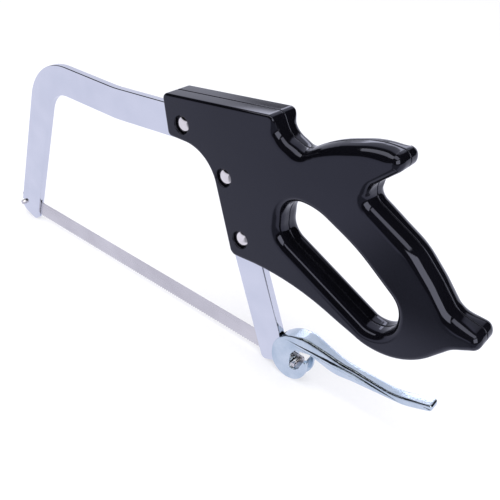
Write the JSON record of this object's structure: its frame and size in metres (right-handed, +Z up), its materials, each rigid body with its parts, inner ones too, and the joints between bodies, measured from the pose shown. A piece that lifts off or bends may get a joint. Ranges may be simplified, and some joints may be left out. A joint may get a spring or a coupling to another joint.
{
  "type": "butcher saw",
  "caption": "Butcher saw: bent flat-bar frame, riveted two-part hand grip with a finger opening, toothed blade on cross pins, and a forked cam lever that tightens the blade.",
  "frame": {"origin": "middle of the saw's length and thickness, at the floor below the arm ends", "axes": "+X along the blade towards the hand grip, +Y across the saw, +Z up from the blade to the spine"},
  "size_m": [0.4768, 0.026, 0.2091],
  "materials": {
    "chromed_bar": "polished plate with a faint lavender cast",
    "handle_plastic": "moulded black, gloss",
    "rivet_steel": "polished domes",
    "blade_steel": "satin, cold rolled",
    "pin_steel": "turned",
    "zinc_lever": "bright zinc plate over a stamping, worn at the edges"
  },
  "bodies": {
    "frame": {"frame_bar": "chromed_bar", "handle_left": "handle_plastic", "handle_right": "handle_plastic", "rivet_tube_top": "rivet_steel", "rivet_tube_middle": "rivet_steel", "rivet_tube_bottom": "rivet_steel", "rivet_pin_top": "rivet_steel", "rivet_pin_middle": "rivet_steel", "rivet_pin_bottom": "rivet_steel"},
    "blade_set": {"blade": "blade_steel", "blade_pin_front": "pin_steel", "blade_pin_rear": "pin_steel"},
    "lever": {"tension_lever": "zinc_lever"}
  },
  "joints": [
    {"name": "blade_slide", "type": "slide", "parent": "frame", "child": "blade_set", "axis": [-1, 0, 0], "range_m": [0, 0.0032]},
    {"name": "lever_hinge", "type": "hinge", "parent": "blade_set", "child": "lever", "pos_m": [0.11161, 0, 0.0135], "axis": [0, 1, 0], "range_deg": [0, 110]}
  ],
  "couplings": [
    {"joint": "blade_slide", "follows": "lever_hinge", "m_per_rad": 0.0015626}
  ]
}
